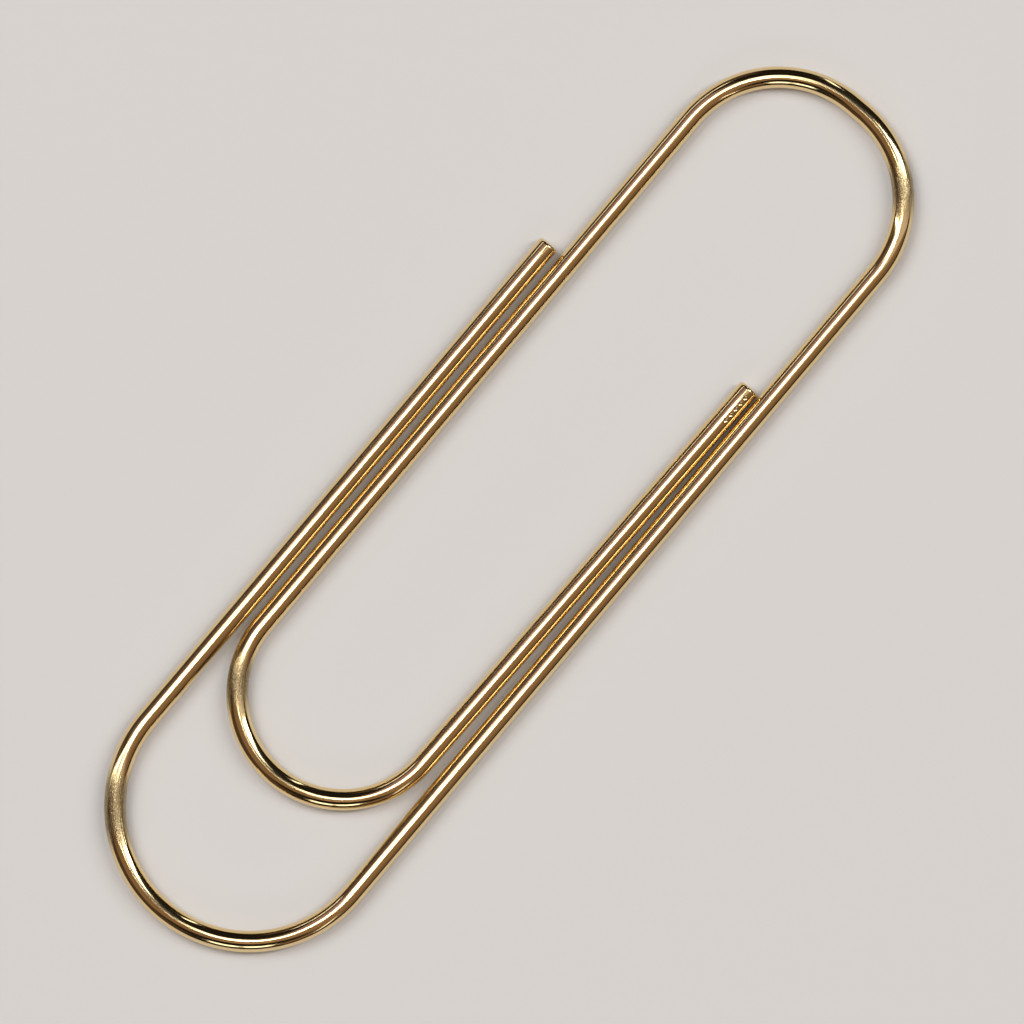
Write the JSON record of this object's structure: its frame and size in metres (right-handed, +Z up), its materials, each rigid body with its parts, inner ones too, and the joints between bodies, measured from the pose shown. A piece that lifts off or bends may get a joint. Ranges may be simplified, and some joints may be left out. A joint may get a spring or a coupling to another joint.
{
  "type": "paper clip",
  "caption": "Flat spiral paper clip of polished gold-coloured round wire: a sprung inner tongue inside an outer loop, for holding sheets of paper together.",
  "frame": {"origin": "centre of the clip's outline, on the surface that it lies on", "axes": "+Z up from the surface, +Y along the clip towards its top bend, +X across it towards the long leg"},
  "size_m": [0.0134, 0.05, 0.001],
  "materials": {
    "gold_wire": "polished"
  },
  "bodies": {
    "outer_loop": {"long_leg": "gold_wire", "outer_bend_long_half": "gold_wire", "top_bend_long_half": "gold_wire"},
    "outer_arm": {"outer_bend_free_half": "gold_wire", "outer_leg": "gold_wire"},
    "tongue": {"top_bend_tongue_half": "gold_wire", "inner_leg": "gold_wire", "inner_bend_tongue_half": "gold_wire"},
    "tongue_arm": {"inner_bend_free_half": "gold_wire", "tongue_leg": "gold_wire"}
  },
  "joints": [
    {"name": "tongue_lift", "type": "hinge", "parent": "outer_loop", "child": "tongue", "pos_m": [0.00063, 0.0245, 0.0005], "axis": [-1, 0, 0], "range_deg": [0, 15], "stiffness_Nm_per_rad": 0.1},
    {"name": "outer_arm_lift", "type": "hinge", "parent": "outer_loop", "child": "outer_arm", "pos_m": [0, -0.0245, 0.0005], "axis": [1, 0, 0], "range_deg": [0, 10], "stiffness_Nm_per_rad": 0.1},
    {"name": "tongue_arm_lift", "type": "hinge", "parent": "tongue", "child": "tongue_arm", "pos_m": [-0.00007, -0.0164, 0.0005], "axis": [1, 0, 0], "range_deg": [0, 10], "stiffness_Nm_per_rad": 0.13}
  ]
}
